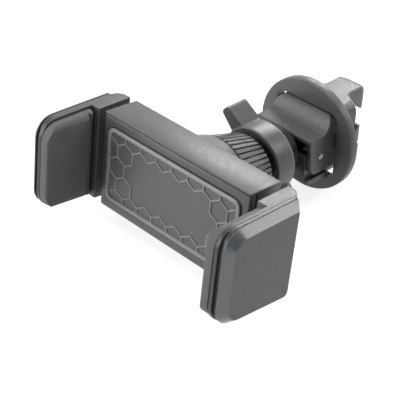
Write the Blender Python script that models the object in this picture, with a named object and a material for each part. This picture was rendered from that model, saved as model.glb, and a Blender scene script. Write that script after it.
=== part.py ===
# Air vent phone holder: a spring clamp for the phone, a ball joint, and a vent clip.
# Metres, +Z up. The origin is the centre of the support ring's rear face, which rests on
# the vent. +Y points into the vent, so the phone sits on the -Y side.
# The clamp is modelled about the centre of the ball and leans back on it by CLAMP_LEAN.

import math

import bmesh
import bpy
import numpy as np
from mathutils import Matrix, Vector

# Clearances and finish
SEAM = 0.0002
FIT = 0.0003
RUN = 0.00008
BALL_FIT = 0.0001
EDGE = 0.0003
ROUND_STEPS = 40
BORE_STEPS = 16
SCREW_STEPS = 12

# Clamp body, measured from its front face backwards
BODY_LENGTH = 0.0536
BODY_HEIGHT = 0.0288
BODY_DEPTH = 0.0112
WALL = 0.0015
BACK_WALL = 0.0016
FRAME_THICK = 0.0024
TOP_LIP = 0.0005
CLAMP_LEAN = math.radians(5.5)

# Front panel with its honeycomb
PANEL_LENGTH = 0.0489
PANEL_HEIGHT = 0.0222
PANEL_CORNER = 0.0024
PANEL_PROUD = 0.0007
PANEL_SEAT = 0.0010
RIM_WIDTH = 0.0010
RIM_DROP = 0.00025
CELL_ACROSS = 0.00585
CELL_DEPTH = 0.00025
CELL_LINE = 0.00035
CELL_MARGIN = 0.0001

# Arms
ARM_GAP = 0.0024
BLOCK_TO_PAD = 0.0030
ARM_THICK = 0.0022
ARM_REACH = 0.0171
ARM_HALF_HEIGHT = 0.0139
ARM_TAPER = 0.042
ARM_CORNER = 0.0056
ARM_BACK_CORNER = 0.0045
ARM_GROOVE = 0.0010
GROOVE_DEPTH = 0.0008
ARM_TRAVEL = 0.014

# Outer caps
CAP_THICK = 0.0025
CAP_SET_BACK = 0.0002
CAP_LIP = 0.0003
CAP_BACK = 0.0086
CAP_BEVEL_FRONT = 0.0022
CAP_BEVEL_SIDE = 0.0018
CAP_BEVEL_BACK = 0.0018

# Rubber pads
PAD_THICK = 0.00285
PAD_INSET = 0.0007
PAD_EDGE = 0.0010
PAD_ROUND = 0.0024
BEAD_RADIUS = 0.00065
BEAD_SETBACK = 0.0012

# Rack and pinion
RACK_FRONT = 0.0031
RACK_DEPTH = 0.0049
RACK_TOP = 0.0090
MODULE = 0.00075
TEETH = 12
ADDENDUM = 0.0006
DEDENDUM = 0.0008
PRESSURE = math.radians(25)
BACKLASH = 0.0002
PINION_PIN_RADIUS = 0.0012
PIN_SOCKET = 0.0008
PIN_BOSS_WALL = 0.0013
PIN_BOSS_HEIGHT = 0.0013

# Return springs
SPRING_RADIUS = 0.0008
SPRING_WIRE = 0.0002
SPRING_TURNS = 12
SPRING_STEPS = 6
SPRING_HEIGHT = 0.0113
HOOK_AT = 0.0080
HOOK_WIDTH = 0.0012
HOOK_TOP = 0.0121
POST_AT = 0.0205
POST_WIDTH = 0.0014

# Housing screws
SCREW_RADIUS = 0.0007
SCREW_HEAD_RADIUS = 0.0014
SCREW_HEAD_HEIGHT = 0.0009
SCREW_BOSS_RADIUS = 0.0016
SCREW_IN_X = 0.0033
SCREW_IN_Z = 0.0034
SCREW_SPLIT = 0.0052

# Ball joint, along +Y from the centre of the ball
BALL_RADIUS = 0.0075
BALL_TO_BACK = 0.0095
LINER_THICK = 0.0006
SOCKET_WALL = 0.0012
SOCKET_REACH = 0.0020
SOCKET_SLOT = 0.0014
BOSS_RADIUS = 0.0141
BOSS_TOP_RADIUS = 0.0130
BOSS_HEIGHT = 0.0051
SEAT_ANGLE = math.radians(30)
RING_FROM = math.radians(58)
RING_TO = math.radians(106)
NUT_START = -0.0041
NUT_END = 0.0085
NUT_WIDE = 0.0127
NUT_NARROW = 0.0100
NUT_CHAMFER = 0.0008
NUT_RIBS = 46
RIB_CREST = 0.34
RIB_FOOT = 0.42
RIB_DEPTH = 0.0006
LIP_RADIUS = 0.0053
LIP_HEIGHT = 0.0057
LIP_FLARE = 0.0064
STEM_RADIUS = 0.0030
STEM_END = 0.0262

# Wing nut
HUB_START = 0.0101
HUB_END = 0.0170
HUB_RADIUS = 0.0104
HUB_DISH = 0.0015
HUB_RIM = 0.0012
HUB_ROUND = 0.0009
WING_ANGLE = math.radians(140)
WING_REACH = 0.0165
WING_OFFSET = -0.00185
WING_ROOT = 0.0080
WING_ROOT_HALF = 0.0027
WING_TIP_HALF = 0.0015
WING_START = 0.0106
WING_END = 0.0176

# Thrust sleeve
SLEEVE_RADIUS = 0.0074
LUG_LENGTH = 0.0009
LUG_LOW = 0.0049
LUG_WIDTH = 0.0080

# Jaws, along +Y from the centre of the ball
JAW_START = 0.0226
JAW_HALF_WIDTH = 0.0103
JAW_WALL = 0.0014
JAW_TOP = 0.0059
JAW_SHOULDER = 0.0280
JAW_RISE_END = 0.0326
JAW_RIDGE = 0.0103
JAW_LIP = 0.0007
JAW_ARCH = 0.0032
ARCH_CLEAR = 0.00002
CHEEK_BOTTOM = 0.0057
CHEEK_LEAN = 0.0012
CHEEK_END = 0.0346
CHEEK_ROUND = 0.0026
PRONG_BLOCK_START = 0.0384
PRONG_BLOCK_END = 0.0436
PRONG_GAP = 0.0032
PRONG_HALF_WIDTH = 0.0095
TIP_HALF_WIDTH = 0.0046
TIP_FILLET = 0.0022
TIP_ROUND = 0.0036
TIP_ARCH = 0.0010
TIP_END = 0.0540
TIP_SLOPE = 0.0024
TIP_DROP = 0.0028
TIP_TOE = 0.0016
TIP_EDGE = 0.0010
TOOTH_START = 0.0464
TOOTH_POINT = 0.0514
TOOTH_GAP = 0.0029
TOOTH_EDGE = 0.0006
PRONG_SKIN = 0.0018
LOWER_SKIRT = 0.0099
LOWER_SKIRT_TOP = 0.0072
LOWER_BOTTOM = 0.0086
LOWER_RIDGE = 0.0099
LOWER_ARCH = 0.0010
LOWER_NECK = 0.0080
LOWER_NECK_START = 0.0312
LOWER_FRONT_TOP = 0.0003
NOTCH_RADIUS = 0.0043
EAR_RADIUS = 0.0028
PIN_AT = 0.0274
PIN_DROP = 0.0005
PIN_RADIUS = 0.00085

# Carrier that joins the ball stud, the jaws and the ring
CARRIER_START = 0.0246
CARRIER_HALF_WIDTH = 0.0046
CARRIER_HALF_HEIGHT = 0.0034
BAR_THICK = 0.0018
BAR_HALF_HEIGHT = 0.0019
BAR_INSIDE_RING = 0.0018

# Support ring
RING_BAND = 0.0057
RING_THICK = 0.0030
RING_FROM_BALL = 0.0323
WINDOW_HALF_WIDTH = 0.0113
WINDOW_TOP = 0.0107
WINDOW_BOTTOM = 0.0104
WINDOW_CORNER = 0.0032
RING_ROUND = 0.0005
RING_SCREW_IN = 0.0033
RING_SCREW_RADIUS = 0.0006
RING_SCREW_HEAD = 0.0011
RING_SCREW_HEAD_HEIGHT = 0.0008
RING_SCREW_DEPTH = 0.0022

# Jaw spring
JAW_SPRING_RADIUS = 0.0016
JAW_SPRING_WIRE = 0.00025
JAW_SPRING_TURNS = 3
JAW_SPRING_FROM = 0.0050
JAW_SPRING_TO = 0.0068

# Places that follow from the sizes above
LOWER_HALF_WIDTH = JAW_HALF_WIDTH - JAW_WALL - FIT
RING_RADIUS = WINDOW_HALF_WIDTH + RING_BAND
RING_SCREW_AT = RING_RADIUS - RING_SCREW_IN
BAR_HALF_WIDTH = RING_RADIUS - BAR_INSIDE_RING
BALL_Y = -(RING_FROM_BALL + RING_THICK)
FACE_Y = -(BALL_TO_BACK + BODY_DEPTH)
HALF_LENGTH = BODY_LENGTH / 2
HALF_HEIGHT = BODY_HEIGHT / 2
BLOCK_X = HALF_LENGTH + ARM_GAP
PAD_PLANE_X = BLOCK_X + BLOCK_TO_PAD
ARM_OUTER_X = PAD_PLANE_X + ARM_THICK
PITCH_RADIUS = MODULE * TEETH / 2
LINER_INNER = BALL_RADIUS + BALL_FIT
LINER_OUTER = LINER_INNER + LINER_THICK
SOCKET_INNER = LINER_OUTER + BALL_FIT
SOCKET_OUTER = SOCKET_INNER + SOCKET_WALL
NUT_BORE = SOCKET_OUTER + FIT
STEM_BORE = STEM_RADIUS + FIT
SLEEVE_START = HUB_END + FIT
SLEEVE_LENGTH = JAW_START - FIT - LUG_LENGTH - SLEEVE_START
RING_FRONT = RING_FROM_BALL
RING_BACK = RING_FROM_BALL + RING_THICK
BAR_START = RING_BACK + FIT
PIN_BORE = PIN_RADIUS + RUN


def clear_scene():
    for item in list(bpy.data.objects):
        bpy.data.objects.remove(item, do_unlink=True)


def plastic(name, colour, roughness, metallic=0.0):
    material = bpy.data.materials.new(name)
    material.use_nodes = True
    shader = material.node_tree.nodes["Principled BSDF"]
    shader.inputs["Base Color"].default_value = (*colour, 1.0)
    shader.inputs["Roughness"].default_value = roughness
    shader.inputs["Metallic"].default_value = metallic
    material.diffuse_color = (*colour, 1.0)
    return material


def add_object(name, mesh_data, parent, material=None, smooth=True):
    bmesh.ops.remove_doubles(mesh_data, verts=mesh_data.verts, dist=1e-7)
    bmesh.ops.recalc_face_normals(mesh_data, faces=mesh_data.faces)
    mesh = bpy.data.meshes.new(name)
    mesh_data.to_mesh(mesh)
    mesh_data.free()
    item = bpy.data.objects.new(name, mesh)
    bpy.context.scene.collection.objects.link(item)
    item.parent = parent
    if smooth:
        mesh.shade_smooth()
        mesh.set_sharp_from_angle(angle=math.radians(32))
    if material is not None:
        mesh.materials.append(material)
    return item


def combine(item, operation, mesh_data, label):
    # Cuts, joins or trims the item with a second shape that is kept as a hidden guide.
    guide = add_object(f"{item.name}_{label}", mesh_data, item.parent, smooth=False)
    guide.location = item.location
    guide.hide_render = True
    guide.display_type = "WIRE"
    step = item.modifiers.new(label, "BOOLEAN")
    step.operation = operation
    step.object = guide
    step.solver = "EXACT"
    return guide


def soften(item, width, steps=2, angle=50):
    step = item.modifiers.new("rounded_edges", "BEVEL")
    step.width = width
    step.segments = steps
    step.limit_method = "ANGLE"
    step.angle_limit = math.radians(angle)
    step.harden_normals = False
    return step


def place(axis, first, second, along):
    # A flat outline point put on the plane across an axis: X takes (y, z), Y (x, z), Z (x, y).
    if axis == "X":
        return Vector((along, first, second))
    if axis == "Y":
        return Vector((first, along, second))
    return Vector((first, second, along))


def prism(axis, outline, low, high, target=None):
    shape = target or bmesh.new()
    bottom = [shape.verts.new(place(axis, a, b, low)) for a, b in outline]
    top = [shape.verts.new(place(axis, a, b, high)) for a, b in outline]
    shape.faces.new(bottom)
    shape.faces.new(top)
    for i in range(len(outline)):
        j = (i + 1) % len(outline)
        shape.faces.new((bottom[i], bottom[j], top[j], top[i]))
    return shape


def box(low, high, target=None):
    outline = [(low[0], low[1]), (high[0], low[1]), (high[0], high[1]), (low[0], high[1])]
    return prism("Z", outline, low[2], high[2], target)


def arc(centre, radius, start, end, steps):
    angles = np.linspace(math.radians(start), math.radians(end), steps + 1)
    return [(centre[0] + radius * math.cos(a), centre[1] + radius * math.sin(a)) for a in angles]


def circle(centre, radius, steps):
    return arc(centre, radius, 0, 360, steps)[:-1]


def rounded_rectangle(low, high, radius, steps=6):
    points = []
    corners = [((high[0], high[1]), 0), ((low[0], high[1]), 90),
               ((low[0], low[1]), 180), ((high[0], low[1]), 270)]
    for (x, y), start in corners:
        centre = (x - math.copysign(radius, x - (low[0] + high[0]) / 2),
                  y - math.copysign(radius, y - (low[1] + high[1]) / 2))
        points += arc(centre, radius, start, start + 90, steps)
    return points


def round_corners(corners):
    # Each corner is (a, b, radius, steps); a radius of 0 keeps the corner sharp.
    points = []
    count = len(corners)
    for i, (a, b, radius, steps) in enumerate(corners):
        here = Vector((a, b))
        if radius == 0:
            points.append((a, b))
            continue
        before = (Vector(corners[i - 1][:2]) - here).normalized()
        after = (Vector(corners[(i + 1) % count][:2]) - here).normalized()
        half = before.angle(after) / 2
        centre = here + (before + after).normalized() * (radius / math.sin(half))
        start = here + before * (radius / math.tan(half)) - centre
        sweep = (here + after * (radius / math.tan(half)) - centre).angle_signed(start)
        for k in range(steps + 1):
            turn = Matrix.Rotation(sweep * k / steps, 2)
            points.append(tuple(centre + turn @ start))
    return points


def turned(profile, steps, target=None):
    # Spins an outline of (radius, y) points round the Y axis; radius 0 closes on the axis.
    shape = target or bmesh.new()
    rings = []
    for radius, y in profile:
        if radius == 0:
            rings.append([shape.verts.new((0, y, 0))])
            continue
        angles = np.linspace(0, 2 * math.pi, steps, endpoint=False)
        rings.append([shape.verts.new((radius * math.cos(a), y, radius * math.sin(a))) for a in angles])
    for low, high in zip(rings, rings[1:] + rings[:1]):
        bridge_rings(shape, low, high)
    return shape


def bridge_rings(shape, low, high):
    if len(low) == 1 and len(high) == 1:
        return
    steps = max(len(low), len(high))
    for i in range(steps):
        j = (i + 1) % steps
        if len(low) == 1:
            shape.faces.new((low[0], high[i], high[j]))
        elif len(high) == 1:
            shape.faces.new((low[i], low[j], high[0]))
        else:
            shape.faces.new((low[i], low[j], high[j], high[i]))


def loft(rings):
    shape = bmesh.new()
    made = [[shape.verts.new(point) for point in ring] for ring in rings]
    shape.faces.new(made[0])
    shape.faces.new(made[-1])
    for low, high in zip(made, made[1:]):
        bridge_rings(shape, low, high)
    return shape


def coil(start, end, first, radius, turns, steps, wire, sides):
    # A helix of round wire from start to end, with closed ends; each ring lies across the wire.
    axis = (end - start).normalized()
    second = axis.cross(first)
    count = round(turns * steps)
    pitch = (end - start).length / (2 * math.pi * turns)
    rings = []
    for step in range(count + 1):
        turn = 2 * math.pi * step / steps
        out = math.cos(turn) * first + math.sin(turn) * second
        ahead = (pitch * axis + radius * (math.cos(turn) * second - math.sin(turn) * first)).normalized()
        other = ahead.cross(out)
        middle = start + (end - start) * step / count + radius * out
        rings.append([middle + wire * (math.cos(a) * out + math.sin(a) * other)
                      for a in (2 * math.pi * k / sides for k in range(sides))])
    shape = loft(rings)
    bmesh.ops.triangulate(shape, faces=shape.faces)
    return shape


def clamp_y(depth):
    # Depth behind the clamp's front face, as Y from the centre of the ball.
    return FACE_Y + depth


def make_frame_empties():
    clip = bpy.data.objects.new("clip_frame", None)
    clip.location = (0, BALL_Y, 0)
    clamp = bpy.data.objects.new("clamp_frame", None)
    clamp.location = (0, BALL_Y, 0)
    clamp.rotation_euler = (-CLAMP_LEAN, 0, 0)
    for item in (clip, clamp):
        bpy.context.scene.collection.objects.link(item)
    bpy.context.view_layer.update()
    return clip, clamp


def screw_places():
    x = HALF_LENGTH - SCREW_IN_X
    z = HALF_HEIGHT - SCREW_IN_Z
    return [(-x, z), (x, z), (-x, -z), (x, -z)]


def make_front_frame(clamp, material):
    top = HALF_HEIGHT - TOP_LIP - SEAM
    low = (-HALF_LENGTH, clamp_y(0), -HALF_HEIGHT)
    high = (HALF_LENGTH, clamp_y(FRAME_THICK), top)
    frame = add_object("front_frame", box(low, high), clamp, material)
    soften(frame, 2 * EDGE)
    for number, (x, z) in enumerate(screw_places()):
        post = prism("Y", circle((x, z), SCREW_BOSS_RADIUS, SCREW_STEPS),
                     clamp_y(FRAME_THICK - EDGE), clamp_y(SCREW_SPLIT - FIT))
        combine(frame, "UNION", post, f"post_{number}")
        hole = prism("Y", circle((x, z), SCREW_RADIUS + FIT, SCREW_STEPS),
                     clamp_y(FRAME_THICK), clamp_y(BODY_DEPTH))
        combine(frame, "DIFFERENCE", hole, f"screw_hole_{number}")
    half = (PANEL_LENGTH / 2 + SEAM, PANEL_HEIGHT / 2 + SEAM)
    seat = rounded_rectangle((-half[0], -half[1]), half, PANEL_CORNER + SEAM)
    pocket = prism("Y", seat, clamp_y(-FRAME_THICK), clamp_y(PANEL_SEAT))
    combine(frame, "DIFFERENCE", pocket, "panel_seat")
    pin = prism("Y", circle((0, 0), PINION_PIN_RADIUS + RUN, BORE_STEPS),
                clamp_y(FRAME_THICK - PIN_SOCKET), clamp_y(BODY_DEPTH))
    combine(frame, "DIFFERENCE", pin, "pinion_pin_socket")
    return frame


def cell_corners(centre, size):
    return [(centre[0] + size * math.sin(math.radians(60 * k)),
             centre[1] + size * math.cos(math.radians(60 * k))) for k in range(6)]


def honeycomb_cells():
    # Rows of pointy-topped cells; the middle ones are merged into one bare field.
    side = CELL_ACROSS / math.sqrt(3)
    rim, middle = [], []
    for row in range(-2, 3):
        shift = 0 if row % 2 else CELL_ACROSS / 2
        for column in range(-5, 6):
            centre = (column * CELL_ACROSS + shift, row * 1.5 * side)
            if abs(row) <= 1 and abs(centre[0]) < 2.9 * CELL_ACROSS:
                middle.append(centre)
            else:
                rim.append(centre)
    return rim, middle, side


def merged_outline(cells, side):
    # The outer boundary of a patch of cells: edges that two cells share drop out.
    edges = {}
    for centre in cells:
        corners = cell_corners(centre, side)
        for k in range(6):
            start = tuple(round(value, 7) for value in corners[k])
            end = tuple(round(value, 7) for value in corners[(k + 1) % 6])
            if (end, start) in edges:
                del edges[(end, start)]
            else:
                edges[(start, end)] = True
    follow = dict(edges.keys())
    point = next(iter(follow))
    loop = []
    while point in follow:
        loop.append(point)
        point = follow.pop(point)
    return loop


def inset_outline(loop, distance):
    points = []
    for i, here in enumerate(loop):
        before = (Vector(here) - Vector(loop[i - 1])).normalized()
        after = (Vector(loop[(i + 1) % len(loop)]) - Vector(here)).normalized()
        first = Vector((before.y, -before.x))
        second = Vector((after.y, -after.x))
        points.append(tuple(Vector(here) + (first + second) * (distance / (1 + first.dot(second)))))
    return points


def make_front_panel(clamp, material):
    half = (PANEL_LENGTH / 2, PANEL_HEIGHT / 2)
    outline = rounded_rectangle((-half[0], -half[1]), half, PANEL_CORNER)
    rim_y = clamp_y(-PANEL_PROUD)
    panel = add_object("front_panel", prism("Y", outline, rim_y, clamp_y(PANEL_SEAT - SEAM)), clamp, material)
    soften(panel, EDGE)
    inner = (half[0] - RIM_WIDTH, half[1] - RIM_WIDTH)
    field = rounded_rectangle((-inner[0], -inner[1]), inner, PANEL_CORNER - RIM_WIDTH)
    line_y = rim_y + RIM_DROP
    combine(panel, "DIFFERENCE", prism("Y", field, rim_y - RIM_WIDTH, line_y), "field")
    rim, middle, side = honeycomb_cells()
    cells = bmesh.new()
    for centre in rim:
        corners = cell_corners(centre, side - CELL_LINE / math.sqrt(3))
        prism("Y", corners, rim_y - RIM_WIDTH, line_y + CELL_DEPTH, cells)
    bare = inset_outline(merged_outline(middle, side), CELL_LINE / 2)
    prism("Y", bare, rim_y - RIM_WIDTH, line_y + CELL_DEPTH, cells)
    cutter = combine(panel, "DIFFERENCE", cells, "cells")
    keep = (inner[0] - CELL_MARGIN, inner[1] - CELL_MARGIN)
    clip = rounded_rectangle((-keep[0], -keep[1]), keep, PANEL_CORNER - RIM_WIDTH - CELL_MARGIN)
    combine(cutter, "INTERSECT", prism("Y", clip, rim_y - RIM_WIDTH / 2, clamp_y(PANEL_SEAT)), "bounds")
    return panel


def socket_profile():
    angles = np.linspace(math.acos(SOCKET_REACH / SOCKET_INNER), math.pi, 9)
    inside = [(SOCKET_INNER * math.sin(a), SOCKET_INNER * math.cos(a)) for a in angles]
    inside[-1] = (0, -SOCKET_INNER)
    start = -BALL_TO_BACK - BACK_WALL / 2
    return [(0, start), (BOSS_RADIUS, start), (BOSS_RADIUS, -BALL_TO_BACK),
            (BOSS_TOP_RADIUS, -BALL_TO_BACK + BOSS_HEIGHT), (SOCKET_OUTER, -BALL_TO_BACK + BOSS_HEIGHT),
            (SOCKET_OUTER, SOCKET_REACH)] + inside


def make_rear_housing(clamp, material):
    shell = box((-HALF_LENGTH, clamp_y(0), -HALF_HEIGHT), (HALF_LENGTH, clamp_y(BODY_DEPTH), HALF_HEIGHT))
    housing = add_object("rear_housing", shell, clamp, material)
    soften(housing, EDGE)
    room = box((-HALF_LENGTH + WALL, clamp_y(-WALL), -HALF_HEIGHT + WALL),
               (HALF_LENGTH - WALL, clamp_y(BODY_DEPTH - BACK_WALL), HALF_HEIGHT - WALL))
    combine(housing, "DIFFERENCE", room, "room")
    front = box((-BODY_LENGTH, clamp_y(-FRAME_THICK), -BODY_HEIGHT),
                (BODY_LENGTH, clamp_y(FRAME_THICK + SEAM), HALF_HEIGHT - TOP_LIP))
    combine(housing, "DIFFERENCE", front, "frame_seat")
    combine(housing, "UNION", turned(socket_profile(), ROUND_STEPS), "socket")
    reach = SOCKET_OUTER + SOCKET_SLOT
    slot_start = -BALL_TO_BACK + BOSS_HEIGHT + SEAM
    half = SOCKET_SLOT / 2
    for label, low, high in (("slot_x", (-reach, slot_start, -half), (reach, BALL_RADIUS, half)),
                             ("slot_z", (-half, slot_start, -reach), (half, BALL_RADIUS, reach))):
        combine(housing, "DIFFERENCE", box(low, high), label)
    for number, (x, z) in enumerate(screw_places()):
        post = prism("Y", circle((x, z), SCREW_BOSS_RADIUS, SCREW_STEPS),
                     clamp_y(SCREW_SPLIT), clamp_y(BODY_DEPTH - BACK_WALL / 2))
        combine(housing, "UNION", post, f"post_{number}")
        hole = prism("Y", circle((x, z), SCREW_RADIUS + FIT, SCREW_STEPS),
                     clamp_y(0), clamp_y(2 * BODY_DEPTH))
        combine(housing, "DIFFERENCE", hole, f"screw_hole_{number}")
        sink = prism("Y", circle((x, z), SCREW_HEAD_RADIUS + FIT, SCREW_STEPS),
                     clamp_y(BODY_DEPTH - SCREW_HEAD_HEIGHT - FIT), clamp_y(2 * BODY_DEPTH))
        combine(housing, "DIFFERENCE", sink, f"screw_sink_{number}")
    inside = clamp_y(BODY_DEPTH - BACK_WALL)
    boss = prism("Y", circle((0, 0), PINION_PIN_RADIUS + PIN_BOSS_WALL, BORE_STEPS),
                 inside - PIN_BOSS_HEIGHT, inside + BACK_WALL / 2)
    combine(housing, "UNION", boss, "pinion_boss")
    hole = prism("Y", circle((0, 0), PINION_PIN_RADIUS + RUN, BORE_STEPS),
                 inside - 2 * PIN_BOSS_HEIGHT, inside + PIN_SOCKET)
    combine(housing, "DIFFERENCE", hole, "pinion_pin_socket")
    for side in (-1, 1):
        cut_rack_slot(housing, side)
        add_spring_post(housing, side)
    return housing


def cut_rack_slot(housing, side):
    low_z = PITCH_RADIUS - ADDENDUM - FIT
    high_z = RACK_TOP + FIT
    x = sorted((side * (HALF_LENGTH - 2 * WALL), side * (HALF_LENGTH + WALL)))
    z = sorted((-side * low_z, -side * high_z))
    slot = box((x[0], clamp_y(0), z[0]), (x[1], clamp_y(RACK_FRONT + RACK_DEPTH + FIT), z[1]))
    combine(housing, "DIFFERENCE", slot, "left_slot" if side < 0 else "right_slot")


def add_spring_post(housing, side):
    # The post stands from the back wall, on the far side from its arm's hook.
    x = -side * POST_AT
    z = sorted((-side * (SPRING_HEIGHT - SPRING_RADIUS - FIT), -side * (HALF_HEIGHT - WALL / 2)))
    post = box((x - POST_WIDTH / 2, spring_y() - SPRING_RADIUS, z[0]),
               (x + POST_WIDTH / 2, clamp_y(BODY_DEPTH - BACK_WALL / 2), z[1]))
    combine(housing, "UNION", post, "left_post" if side < 0 else "right_post")


def spring_y():
    return clamp_y(RACK_FRONT + RACK_DEPTH / 2)


def make_screws(clamp, material):
    head = clamp_y(BODY_DEPTH - EDGE)
    seat = head - SCREW_HEAD_HEIGHT + EDGE
    tip = clamp_y(FRAME_THICK + 2 * FIT)
    profile = [(0, tip), (SCREW_RADIUS, tip), (SCREW_RADIUS, seat), (SCREW_HEAD_RADIUS, seat),
               (SCREW_HEAD_RADIUS, head - EDGE), (SCREW_HEAD_RADIUS - EDGE, head), (0, head)]
    for number, (x, z) in enumerate(screw_places(), start=1):
        shape = turned(profile, SCREW_STEPS)
        bmesh.ops.translate(shape, verts=shape.verts, vec=(x, 0, z))
        add_object(f"housing_screw_{number}", shape, clamp, material)


def involute(base, radius):
    roll = math.sqrt(max((radius / base) ** 2 - 1, 0))
    return roll - math.atan(roll)


def pinion_outline():
    # Involute flanks down to the base circle, then radial flanks to the root.
    base = PITCH_RADIUS * math.cos(PRESSURE)
    outer = PITCH_RADIUS + ADDENDUM
    root = PITCH_RADIUS - DEDENDUM
    half_tooth = math.pi / (2 * TEETH) - BACKLASH / (2 * PITCH_RADIUS)
    radii = [root, base] + list(np.linspace(base, outer, 4)[1:])
    points = []
    for tooth in range(TEETH):
        centre = math.pi / 2 + 2 * math.pi * tooth / TEETH
        flank = []
        for radius in radii:
            spread = half_tooth + involute(base, PITCH_RADIUS) - involute(base, max(radius, base))
            flank.append((radius, spread))
        for radius, spread in flank:
            points.append((radius * math.cos(centre - spread), radius * math.sin(centre - spread)))
        for radius, spread in reversed(flank):
            points.append((radius * math.cos(centre + spread), radius * math.sin(centre + spread)))
    return points


def make_pinion(clamp, material):
    low = clamp_y(RACK_FRONT)
    high = clamp_y(BODY_DEPTH - BACK_WALL - PIN_BOSS_HEIGHT - FIT)
    pinion = add_object("pinion_gear", prism("Y", pinion_outline(), low, high), clamp, material)
    bore = prism("Y", circle((0, 0), PINION_PIN_RADIUS + RUN, BORE_STEPS), low - WALL, high + WALL)
    combine(pinion, "DIFFERENCE", bore, "bore")
    return pinion


def make_pinion_pin(clamp, material):
    low = clamp_y(FRAME_THICK - PIN_SOCKET + FIT)
    high = clamp_y(BODY_DEPTH - BACK_WALL + PIN_SOCKET - FIT)
    pin = prism("Y", circle((0, 0), PINION_PIN_RADIUS, BORE_STEPS), low, high)
    return add_object("pinion_pin", pin, clamp, material)


def rack_outline(side):
    # The rack lies below the pinion on the right arm and above it on the left arm.
    pitch = math.pi * MODULE
    start = -ARM_TRAVEL - 1.2 * pitch
    end = 1.6 * pitch
    low = PITCH_RADIUS - ADDENDUM
    root = PITCH_RADIUS + DEDENDUM
    slope = math.tan(PRESSURE)
    half = pitch / 4 - BACKLASH / 2
    points = [(start, RACK_TOP), (start, root)]
    first = math.ceil(start / pitch - 0.5) + 0.5
    position = first * pitch
    while position + pitch / 2 < end:
        wide = half + slope * (root - PITCH_RADIUS)
        narrow = half - slope * (PITCH_RADIUS - low)
        if position - wide > start:
            points += [(position - wide, root), (position - narrow, low)]
            points += [(position + narrow, low), (position + wide, root)]
        position += pitch
    points += [(end, root), (BLOCK_X + WALL, root), (BLOCK_X + WALL, RACK_TOP)]
    points += [(HOOK_AT + HOOK_WIDTH / 2, RACK_TOP), (HOOK_AT + HOOK_WIDTH / 2, HOOK_TOP)]
    points += [(HOOK_AT - HOOK_WIDTH / 2, HOOK_TOP), (HOOK_AT - HOOK_WIDTH / 2, RACK_TOP)]
    return [(side * x, -side * z) for x, z in points]


def half_height(depth, inset=0.0):
    # Half height of an arm at a depth behind the front face; the arm tapers to its front.
    return ARM_HALF_HEIGHT + ARM_TAPER * depth - inset


def arm_side_outline(front, back, inset, corner, back_corner):
    near = half_height(front, inset)
    far = half_height(back, inset)
    corners = [(front, near, corner, 6), (back, far, back_corner, 3),
               (back, -far, back_corner, 3), (front, -near, corner, 6)]
    return [(clamp_y(a), b) for a, b in round_corners(corners)]


def arm_plan_outline(side):
    front = -ARM_REACH
    corners = [(BLOCK_X, 0, 0, 0), (BLOCK_X, BODY_DEPTH, EDGE, 2),
               (ARM_OUTER_X, BODY_DEPTH, ARM_BACK_CORNER, 6), (ARM_OUTER_X, front, 0, 0),
               (PAD_PLANE_X, front, EDGE, 2), (PAD_PLANE_X, 0, 0, 0)]
    return [(side * x, clamp_y(y)) for x, y in round_corners(corners)]


def arm_trim(side):
    # The arm's outline from the side; its outer edge is set in, which leaves a groove under the cap.
    plain = arm_side_outline(-ARM_REACH, BODY_DEPTH + EDGE, 0, ARM_CORNER, 2 * EDGE)
    slim = arm_side_outline(GROOVE_DEPTH - ARM_REACH, BODY_DEPTH + EDGE, GROOVE_DEPTH,
                            ARM_CORNER - GROOVE_DEPTH, 2 * EDGE)
    groove_x = ARM_OUTER_X - ARM_GROOVE
    rings = [(BLOCK_X - WALL, plain), (groove_x, plain), (groove_x + EDGE / 2, slim),
             (ARM_OUTER_X + WALL, slim)]
    trim = loft([[(side * x, y, z) for y, z in outline] for x, outline in rings])
    bmesh.ops.triangulate(trim, faces=trim.faces)
    return trim


def make_arm(side, clamp, material):
    name = "left_arm" if side < 0 else "right_arm"
    reach = HALF_HEIGHT + WALL
    arm = add_object(name, prism("Z", arm_plan_outline(side), -reach, reach), clamp, material)
    combine(arm, "INTERSECT", arm_trim(side), "side_outline")
    rack = prism("Y", rack_outline(side), clamp_y(RACK_FRONT), clamp_y(RACK_FRONT + RACK_DEPTH))
    combine(arm, "UNION", rack, "rack")
    return arm


def make_cap(side, clamp, material):
    front = CAP_SET_BACK - ARM_REACH
    inner_x = ARM_OUTER_X + SEAM
    outer_x = inner_x + CAP_THICK
    base = [(front, 0, ARM_CORNER), (CAP_BACK, 0, 2 * EDGE)]
    flat = [(front + CAP_BEVEL_FRONT, CAP_BEVEL_SIDE, ARM_CORNER - CAP_BEVEL_SIDE),
            (CAP_BACK - CAP_BEVEL_BACK, CAP_BEVEL_SIDE, 2 * EDGE)]
    rings = []
    for x, (fore, aft) in ((inner_x, base), (inner_x + CAP_LIP, base), (outer_x, flat)):
        outline = arm_side_outline(fore[0], aft[0], fore[1], fore[2], aft[2])
        rings.append([(side * x, y, z) for y, z in outline])
    cap = add_object("left_cap" if side < 0 else "right_cap", loft(rings), clamp, material)
    return cap


def pad_envelope(side, face_x):
    # The pad from the front: its top and bottom edges are well rounded, and follow the arm's taper.
    back_x = PAD_PLANE_X + WALL
    rings = []
    for depth in (-ARM_REACH - WALL, WALL):
        top = half_height(depth, PAD_INSET) + ARCH_CLEAR
        corners = [(face_x - ARCH_CLEAR, -top, PAD_ROUND, 5), (back_x, -top, 0, 0),
                   (back_x, top, 0, 0), (face_x - ARCH_CLEAR, top, PAD_ROUND, 5)]
        rings.append([(side * x, clamp_y(depth), z) for x, z in round_corners(corners)])
    shape = loft(rings)
    bmesh.ops.triangulate(shape, faces=shape.faces)
    return shape


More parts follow.
